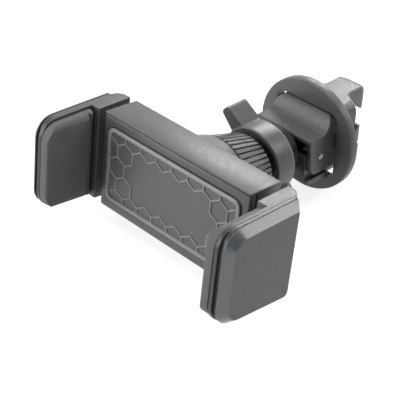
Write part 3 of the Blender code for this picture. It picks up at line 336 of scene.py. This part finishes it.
def moulded(name, colour, roughness, grain, height, wear_and_highlight=0.35, gloss=0.5, coat=0.0, lines=None,
            mask=None):
    # Moulded plastic: a fine grain with specks, faint mottling, polished and slightly paler edges,
    # the paleness partly wear and partly painted highlight.
    tree = Tree(bpy.data.materials.new(name))
    place = tree.place()
    soft = tree.soft_normal(EDGE_RADIUS)
    mottle = tree.spread(tree.noise(place, MOTTLE_SCALE, detail=3.0), *NOISE, *MOTTLE_TONE)
    fine = tree.noise(place, grain, rough=0.6)
    speck = tree.noise(place, grain * SPECK_SCALE, detail=1.0)
    patchy = tree.spread(tree.noise(place, WEAR_SCALE, detail=3.0), *WEAR_NOISE, *WEAR_TONE)
    worn_and_highlit = tree.times(tree.edges(soft), patchy)
    tone = tree.times(mottle, tree.spread(fine, *NOISE, *GRAIN_TONE))
    # Edges are paler: partly patchy wear, partly a painted highlight.
    tone = tree.times(tone, tree.lift(worn_and_highlit, wear_and_highlight))
    # An optional mask paints shade or a highlight into the tone.
    if mask:
        tone = tree.times(tone, mask(tree, place))
    # The raised lines take a paler colour, a painted highlight.
    if lines:
        colour = tree.mix(line_mask(tree, place), rgba(colour), rgba(lines))
    low, high = (roughness + change for change in ROUGHNESS_SPREAD)
    rough = tree.math("ADD", tree.spread(speck, *NOISE, low, high), tree.times(worn_and_highlit, WEAR_POLISH))
    relief = tree.math("ADD", fine, tree.times(speck, SPECK_HEIGHT))
    return tree.output(tree.add("ShaderNodeBsdfPrincipled", {
        "IOR": PLASTIC_IOR,
        "Specular IOR Level": gloss,
        "Coat Weight": coat,
        "Coat Roughness": COAT_ROUGHNESS,
        "Base Color": tree.scaled(colour, tone),
        "Roughness": rough,
        "Normal": tree.bump(relief, height, soft),
    }))


def clamp_depth(tree, place):
    # How far a point is behind the ball, in the clamp's own frame.
    parts = tree.axes(place)
    depth = tree.times(tree.math("SUBTRACT", parts["Y"], BALL_Y), math.cos(CLAMP_LEAN))
    return tree.math("SUBTRACT", depth, tree.times(parts["Z"], math.sin(CLAMP_LEAN)))


def line_mask(tree, place):
    # 1 on the panel's raised rim and honeycomb lines, 0 on the floor of the cells.
    return tree.spread(clamp_depth(tree, place), LINE_DEPTH, CELL_DEPTH, 1.0, 0.0)


def groove_painted_shade(tree, place):
    # Painted shade: the recess between a pad and the cap is darkened, fading where the band closes
    # the groove.
    out = tree.math("ABSOLUTE", tree.axes(place)["X"])
    beside = tree.spread(out, RECESS_X, RECESS_X + GROOVE_BLEND, 0.0, GROOVE_SHADE_STRENGTH)
    front = tree.spread(clamp_depth(tree, place), FACE_Y + GROOVE_FADE, FACE_Y + GROOVE_FADE_END,
                        1.0, 0.0)
    return tree.lift(tree.times(beside, front), -1.0)


def rim_painted_highlight(tree, place):
    # Painted highlight: the rounded rear rim of the wing nut's hub is made pale.
    parts = tree.axes(place)
    squares = [tree.times(parts[axis], parts[axis]) for axis in "XZ"]
    radius = tree.math("SQRT", tree.math("ADD", *squares))
    mask = 1.0
    for value, low, high in ((parts["Y"], *RIM_DEPTHS), (radius, *RIM_RADII)):
        inside = tree.times(tree.spread(value, low, low + RIM_BLEND, 0.0, 1.0),
                            tree.spread(value, high, high + RIM_BLEND, 1.0, 0.0))
        mask = tree.times(mask, inside)
    return tree.lift(mask, RIM_HIGHLIGHT_GAIN)


def rubber(name):
    # Soft grip rubber: dull, with a dense fine grain, a dusty sheen and a painted highlight along
    # its edges.
    tree = Tree(bpy.data.materials.new(name))
    place = tree.place()
    soft = tree.soft_normal(EDGE_RADIUS)
    dust = tree.noise(place, DUST_SCALE, detail=4.0)
    fine = tree.noise(place, RUBBER_GRAIN, rough=0.7)
    tone = tree.times(tree.spread(dust, *NOISE, *DUST_TONE),
                      tree.spread(fine, *NOISE, *RUBBER_GRAIN_TONE))
    # Painted highlight: every edge is made paler.
    tone = tree.times(tone, tree.lift(tree.edges(soft), RUBBER_EDGE_HIGHLIGHT))
    return tree.output(tree.add("ShaderNodeBsdfPrincipled", {
        "IOR": RUBBER_IOR,
        "Sheen Weight": RUBBER_SHEEN,
        "Base Color": tree.scaled(RUBBER_COLOUR, tone),
        "Roughness": tree.spread(dust, *NOISE, *RUBBER_ROUGHNESS),
        "Normal": tree.bump(fine, FINE_BUMP, soft),
    }))


def steel(name):
    # Zinc plated steel: brushed along X, with a cloudy plating.
    tree = Tree(bpy.data.materials.new(name))
    place = tree.place()
    soft = tree.soft_normal(STEEL_EDGE_RADIUS)
    cloud = tree.noise(place, PLATING_SCALE, detail=3.0)
    stretched = tree.add("ShaderNodeMapping", {"Vector": place, "Scale": BRUSH_STRETCH})
    brush = tree.noise(stretched.outputs["Vector"], BRUSH_SCALE, rough=0.6)
    tone = tree.times(tree.spread(cloud, *NOISE, *PLATING_TONE),
                      tree.spread(brush, *NOISE, *BRUSH_TONE))
    return tree.output(tree.add("ShaderNodeBsdfPrincipled", {
        "Metallic": 1.0,
        "Base Color": tree.scaled(STEEL_COLOUR, tone),
        "Roughness": tree.spread(cloud, *NOISE, *STEEL_ROUGHNESS),
        "Normal": tree.bump(brush, FINE_BUMP, soft),
    }))


def add_smooth_group():
    # Joins split vertices, then shades smooth everywhere but across real edges.
    group = bpy.data.node_groups.new(SMOOTH, "GeometryNodeTree")
    for way in ("INPUT", "OUTPUT"):
        group.interface.new_socket("Geometry", in_out=way, socket_type="NodeSocketGeometry")
    add, join = group.nodes.new, group.links.new
    start = add("NodeGroupInput")
    bare = add("GeometryNodeRemoveAttribute")
    bare.inputs["Name"].default_value = "custom_normal"
    merge = add("GeometryNodeMergeByDistance")
    merge.inputs["Distance"].default_value = MERGE
    faces = add("GeometryNodeSetShadeSmooth")
    edges = add("GeometryNodeSetShadeSmooth")
    edges.domain = "EDGE"
    end = add("NodeGroupOutput")
    angle = add("GeometryNodeInputMeshEdgeAngle")
    under = add("FunctionNodeCompare")
    under.operation = "LESS_THAN"
    under.inputs[1].default_value = SMOOTH_LIMIT
    join(angle.outputs["Unsigned Angle"], under.inputs[0])
    join(under.outputs["Result"], edges.inputs["Shade Smooth"])
    row = [start, bare, merge, faces, edges, end]
    for before, after in zip(row, row[1:]):
        join(before.outputs["Geometry"], after.inputs["Geometry"])


def shade_by_angle(item):
    item.modifiers.new(SMOOTH, "NODES").node_group = bpy.data.node_groups[SMOOTH]


def dress(names, material):
    for name in names:
        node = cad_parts[name]
        node.data.materials.clear()
        node.data.materials.append(material)
        shade_by_angle(node)


def dress_nodes():
    dress(GRAPHITE, moulded("graphite_plastic", GRAPHITE_COLOUR, **MATT))
    dress(ARMS, moulded("arm_plastic", GRAPHITE_COLOUR, **MATT, mask=groove_painted_shade))
    dress(WING, moulded("wing_plastic", GRAPHITE_COLOUR, **POLISHED, mask=rim_painted_highlight))
    dress(KNURL, moulded("knurled_plastic", KNURL_COLOUR, **RIBBED))
    dress(PANEL, moulded("panel_plastic", PANEL_COLOUR, **PANELLED, lines=LINE_HIGHLIGHT_COLOUR))
    dress(BLACK, moulded("inner_plastic", BLACK_COLOUR, **INNER))
    dress(RUBBER, rubber("pad_rubber"))
    dress(STEEL, steel("zinc_steel"))


def half_height(depth):
    # The arm's half height, which grows towards the vent.
    return ARM_HALF_HEIGHT + ARM_TAPER * depth


def from_clamp(x, depth, z):
    # A place in the clamp's own frame, by its depth from the front face, as a place in the scene.
    y = FACE_Y + depth
    cos, sin = math.cos(CLAMP_LEAN), math.sin(CLAMP_LEAN)
    return Vector((x, BALL_Y + y * cos + z * sin, z * cos - y * sin))


def outline_point(inset, t):
    # A point of the arm's side outline: round the front corner up to t = 1, then along the top.
    centre = (ARM_FRONT + ARM_CORNER, half_height(ARM_FRONT + ARM_CORNER) - ARM_CORNER)
    if t <= 1.0:
        turn = (math.pi / 2 + math.atan(ARM_TAPER)) * t
        radius = ARM_CORNER - inset
        return centre[0] - radius * math.cos(turn), centre[1] + radius * math.sin(turn)
    depth = centre[0] + (BAND_END - centre[0]) * (t - 1.0)
    return depth, half_height(depth) - inset


def outer_x(depth):
    # How far out the arm reaches; its outer back corner is rounded.
    past = max(0.0, depth - BACK_ROUND_AT)
    return ARM_OUTER_X - BACK_ROUND + math.sqrt(BACK_ROUND ** 2 - past ** 2)


def add_band(mesh, side, up):
    # Fills the groove beside the cap, fading in round the front corner.
    corner = [k / BAND_CORNER_STEPS for k in range(BAND_FIRST, BAND_CORNER_STEPS + 1)]
    top = [1.0 + k / BAND_TOP_STEPS for k in range(1, BAND_TOP_STEPS + 1)]
    sunk = GROOVE_DEPTH + 3 * CLEAR
    rings = []
    for t in corner + top:
        fade = min(1.0, t) ** 2 * (3 - 2 * min(1.0, t))
        flush = GROOVE_DEPTH + (BAND_INSET - GROOVE_DEPTH) * fade
        ring = []
        for inset, inside in ((sunk, True), (flush, True), (flush, False), (sunk, False)):
            depth, z = outline_point(inset, t)
            x = GROOVE_X if inside else outer_x(depth) - CLEAR
            ring.append(mesh.verts.new(from_clamp(side * x, depth, up * z)))
        rings.append(ring)
    skin(mesh, rings)


def skin(mesh, rings):
    # Joins rings of points into one closed tube.
    count = len(rings[0])
    for low, high in zip(rings, rings[1:]):
        for k in range(count):
            mesh.faces.new((low[k], low[(k + 1) % count], high[(k + 1) % count], high[k]))
    mesh.faces.new(rings[0])
    mesh.faces.new(rings[-1])


def rounded(corners, steps=10):
    # A polygon from corners (a, b, radius), each rounded with an arc.
    points = []
    count = len(corners)
    for k, (a, b, radius) in enumerate(corners):
        corner = Vector((a, b))
        before = (Vector(corners[k - 1][:2]) - corner).normalized()
        after = (Vector(corners[(k + 1) % count][:2]) - corner).normalized()
        half = before.angle(after) / 2
        centre = corner + (before + after).normalized() * radius / math.sin(half)
        start = corner + before * radius / math.tan(half) - centre
        end = corner + after * radius / math.tan(half) - centre
        sweep = start.angle_signed(end)
        for step in range(steps + 1):
            turn = Matrix.Rotation(-sweep * step / steps, 2)
            points.append(centre + turn @ start)
    return points


def cap_outline(front, back, inset, corner):
    # The cap's side outline, moved in by inset: round front corners, a crisp upper back corner
    # and a soft lower one.
    near, far = half_height(front) - inset, half_height(back) - inset
    top, low = (max(radius - inset, CAP_LIP) for radius in (CAP_TOP_CORNER, CAP_LOW_CORNER))
    return rounded([(front, near, corner), (back, far, top), (back, -far, low),
                    (front, -near, corner)])


def make_cap(node, side, bevels):
    # The outer cap: a short wall, then broad bevels all round a flat face; the bevels take a paler
    # material, a painted highlight.
    mesh = bmesh.new()
    full = (CAP_FRONT, CAP_BACK, 0.0, ARM_CORNER)
    flat = (CAP_FRONT + CAP_BEVEL_FRONT, CAP_BACK - CAP_BEVEL_SIDE, CAP_BEVEL_SIDE,
            ARM_CORNER - CAP_BEVEL_SIDE)
    rings = []
    for x, share in ((CAP_INNER_X, 0.0), (CAP_INNER_X + CAP_LIP, 0.0), (CAP_OUTER_X, 1.0)):
        outline = cap_outline(*(a + (b - a) * share for a, b in zip(full, flat)))
        rings.append([mesh.verts.new(from_clamp(side * x, depth, z)) for depth, z in outline])
    skin(mesh, rings)
    count = len(rings[0])
    mesh.faces.ensure_lookup_table()
    # The bevel faces take the paler material, a painted highlight.
    for face in mesh.faces[count:2 * count]:
        face.material_index = CAP_BEVEL_SLOT
    piece = piece_from(node + "_shell", mesh, node.replace("cap", "arm"), node)
    piece.data.materials.append(bevels)


def nose_section(mesh, y, half, top, low, up):
    # A slice across a jaw's tip: flat below, its two upper corners rounded.
    radius = min(TIP_ARCH, TIP_ARCH_MOST * half)
    points = [(-half, low), (half, low)]
    for middle, quarter in ((half - radius, 0), (radius - half, 1)):
        for k in range(TIP_ARCH_STEPS + 1):
            turn = math.pi / 2 * (quarter + k / TIP_ARCH_STEPS)
            points.append((middle + radius * math.cos(turn),
                           top - radius + radius * math.sin(turn)))
    return [mesh.verts.new((x, y, up * z)) for x, z in points]


def nose_stations():
    # Places along the tip as (y, half width): straight, then round the nose.
    middle = 0.5 * (TIP_FROM + TIP_END - TIP_ROUND)
    stations = [(TIP_FROM, TIP_HALF_WIDTH), (middle, TIP_HALF_WIDTH)]
    for k in range(TIP_ROUND_STEPS + 1):
        turn = math.pi / 2 * k / TIP_ROUND_STEPS
        stations.append((TIP_END - TIP_ROUND * (1 - math.sin(turn)),
                         TIP_HALF_WIDTH - TIP_ROUND * (1 - math.cos(turn))))
    return stations


def tooth_height(t):
    # How deep the tooth hangs: deepest before its middle, less at its root and its end.
    if t < TOOTH_DEEPEST:
        swell = math.sin(math.pi / 2 * t / TOOTH_DEEPEST)
        return TOOTH_ROOT + (TOOTH_DEEP - TOOTH_ROOT) * swell
    past = (t - TOOTH_DEEPEST) / (1 - TOOTH_DEEPEST)
    return TOOTH_DEEP - (TOOTH_DEEP - TOOTH_END) * past ** 2


def tip_nose(ridge, up):
    # A jaw's nose and tooth; its top starts at the ridge and falls a little towards the end.
    mesh = bmesh.new()
    rings = []
    for y, half in nose_stations():
        t = (y - TIP_FROM) / (TIP_END - TIP_FROM)
        past = max(0.0, y - (TIP_END - TIP_CHAMFER)) / TIP_CHAMFER
        top = ridge - CLEAR - TIP_FALL * t * t - TIP_CHAMFER_FALL * TIP_CHAMFER * past ** 2
        low = ridge - tooth_height(t)
        rings.append(nose_section(mesh, y, half - CLEAR, top, low, up))
    skin(mesh, rings)
    return mesh


def item_from(name, mesh):
    bmesh.ops.recalc_face_normals(mesh, faces=mesh.faces)
    data = bpy.data.meshes.new(name)
    mesh.to_mesh(data)
    mesh.free()
    item = bpy.data.objects.new(name, data)
    bpy.context.scene.collection.objects.link(item)
    return item


def piece_from(name, mesh, body, node):
    # A piece that stands for a node, takes its finish and moves with its body.
    piece = item_from(name, mesh)
    piece.data.materials.append(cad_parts[node].data.materials[0])
    shade_by_angle(piece)
    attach(piece, body)
    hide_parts(node)
    return piece


def node_mesh(node):
    mesh = bmesh.new()
    mesh.from_mesh(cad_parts[node].data)
    bmesh.ops.remove_doubles(mesh, verts=mesh.verts, dist=MERGE)
    return mesh


def make_jaw(node, ridge, up):
    # The jaw with its blunt nose, joined into one skin.
    base = item_from(node + "_base", node_mesh(node))
    nose = item_from(node + "_nose", tip_nose(ridge, up))
    join = base.modifiers.new("nose", "BOOLEAN")
    join.operation = "UNION"
    join.solver = "EXACT"
    join.object = nose
    graph = bpy.context.evaluated_depsgraph_get()
    whole = bmesh.new()
    whole.from_mesh(bpy.data.meshes.new_from_object(base.evaluated_get(graph)))
    for item in (base, nose):
        bpy.data.objects.remove(item)
    bmesh.ops.remove_doubles(whole, verts=whole.verts, dist=MERGE)
    piece_from(node + "_shell", whole, node, node)


def make_arm(node, side):
    # The arm with a band above and below.
    mesh = node_mesh(node)
    for up in (-1, 1):
        add_band(mesh, side, up)
    piece_from(node + "_shell", mesh, node, node)


def any_ray(tree, *kinds):
    # 1 for rays of any of these kinds, 0 for others.
    path = tree.add("ShaderNodeLightPath")
    total = 0.0
    for kind in kinds:
        total = tree.math("ADD", total, path.outputs[kind], clamp=True)
    return total


def floor_material():
    # A pale floor that glows where it is seen, white out to its far edge, and keeps the shadow.
    tree = Tree(bpy.data.materials.new("floor_paper"))
    place = tree.place()
    tone = tree.spread(tree.noise(place, FLOOR_GRAIN, detail=3.0), *NOISE, *FLOOR_TONE)
    paper = tree.add("ShaderNodeBsdfDiffuse", {"Color": tree.scaled(FLOOR_COLOUR, tone)})
    level = tree.spread(tree.length(place), *FLOOR_FAR, FLOOR_GLOW, FLOOR_FAR_GLOW)
    seen = any_ray(tree, "Is Camera Ray", "Is Glossy Ray", "Is Transmission Ray")
    strength = tree.times(seen, level)
    glow = tree.add("ShaderNodeEmission", {"Color": rgba(WHITE), "Strength": strength})
    both = tree.add("ShaderNodeAddShader", {0: paper.outputs[0], 1: glow.outputs[0]})
    return tree.output(both)


def add_floor():
    low = CAD_BOX[0][2]
    mesh = bpy.data.meshes.new("floor")
    corners = [(-1, -1), (1, -1), (1, 1), (-1, 1)]
    places = [(x * FLOOR_HALF, y * FLOOR_HALF, low) for x, y in corners]
    mesh.from_pydata(places, [], [(0, 1, 2, 3)])
    floor = bpy.data.objects.new("floor", mesh)
    bpy.context.scene.collection.objects.link(floor)
    floor.data.materials.append(floor_material())


def light_world():
    # White to the camera, bright in reflections and dim as light. The last two are darker towards
    # the front right, above.
    tree = Tree(bpy.data.worlds.new("studio"))
    towards = tree.dot(tree.place("Generated"), DARK_SIDE)
    side = tree.spread(towards, *DARK_COSINES, 1.0, DARK_LEVEL, curve="SMOOTHSTEP")
    mirrored = any_ray(tree, "Is Glossy Ray", "Is Transmission Ray")
    level = tree.times(side, tree.spread(mirrored, 0.0, 1.0, AMBIENT, 1.0))
    strength = tree.math("MAXIMUM", level, any_ray(tree, "Is Camera Ray"))
    back = tree.add("ShaderNodeBackground", {"Color": rgba(WHITE), "Strength": strength})
    bpy.context.scene.world = tree.output(back, "ShaderNodeOutputWorld")


def add_lamps():
    for name, place, width, height, watts in LAMPS:
        lamp = bpy.data.lights.new(name, "AREA")
        lamp.shape = "RECTANGLE"
        lamp.size = width
        lamp.size_y = height
        lamp.energy = watts
        item = bpy.data.objects.new(name, lamp)
        item.location = place
        ahead = Vector(LAMPS_FACE) - Vector(place)
        item.rotation_euler = ahead.to_track_quat("-Z", "Y").to_euler()
        bpy.context.scene.collection.objects.link(item)


def add_camera():
    lens = bpy.data.cameras.new("camera")
    lens.lens = LENS
    lens.sensor_width = SENSOR
    lens.sensor_fit = "HORIZONTAL"
    lens.clip_start = CLIP_START
    lens.clip_end = CLIP_END
    item = bpy.data.objects.new("camera", lens)
    right, down, ahead = Vector(CAMERA_RIGHT), Vector(CAMERA_DOWN), Vector(CAMERA_AHEAD)
    turn = Matrix((right, -down, -ahead)).transposed()
    item.matrix_world = Matrix.Translation(CAMERA_AT) @ turn.to_4x4()
    bpy.context.scene.collection.objects.link(item)
    bpy.context.scene.camera = item


bpy.context.scene.view_settings.view_transform = "Standard"
add_smooth_group()
dress_nodes()
make_jaw("upper_jaw", UPPER_RIDGE, 1)
make_jaw("lower_jaw", LOWER_RIDGE, -1)
make_arm("left_arm", -1)
make_arm("right_arm", 1)
# A paler, bluish copy of the graphite for the cap bevels: a painted highlight.
bevel_painted_highlight = moulded("bevel_painted_highlight", BEVEL_HIGHLIGHT_COLOUR, **POLISHED, coat=BEVEL_COAT)
make_cap("left_cap", -1, bevel_painted_highlight)
make_cap("right_cap", 1, bevel_painted_highlight)
add_floor()
light_world()
add_lamps()
add_camera()
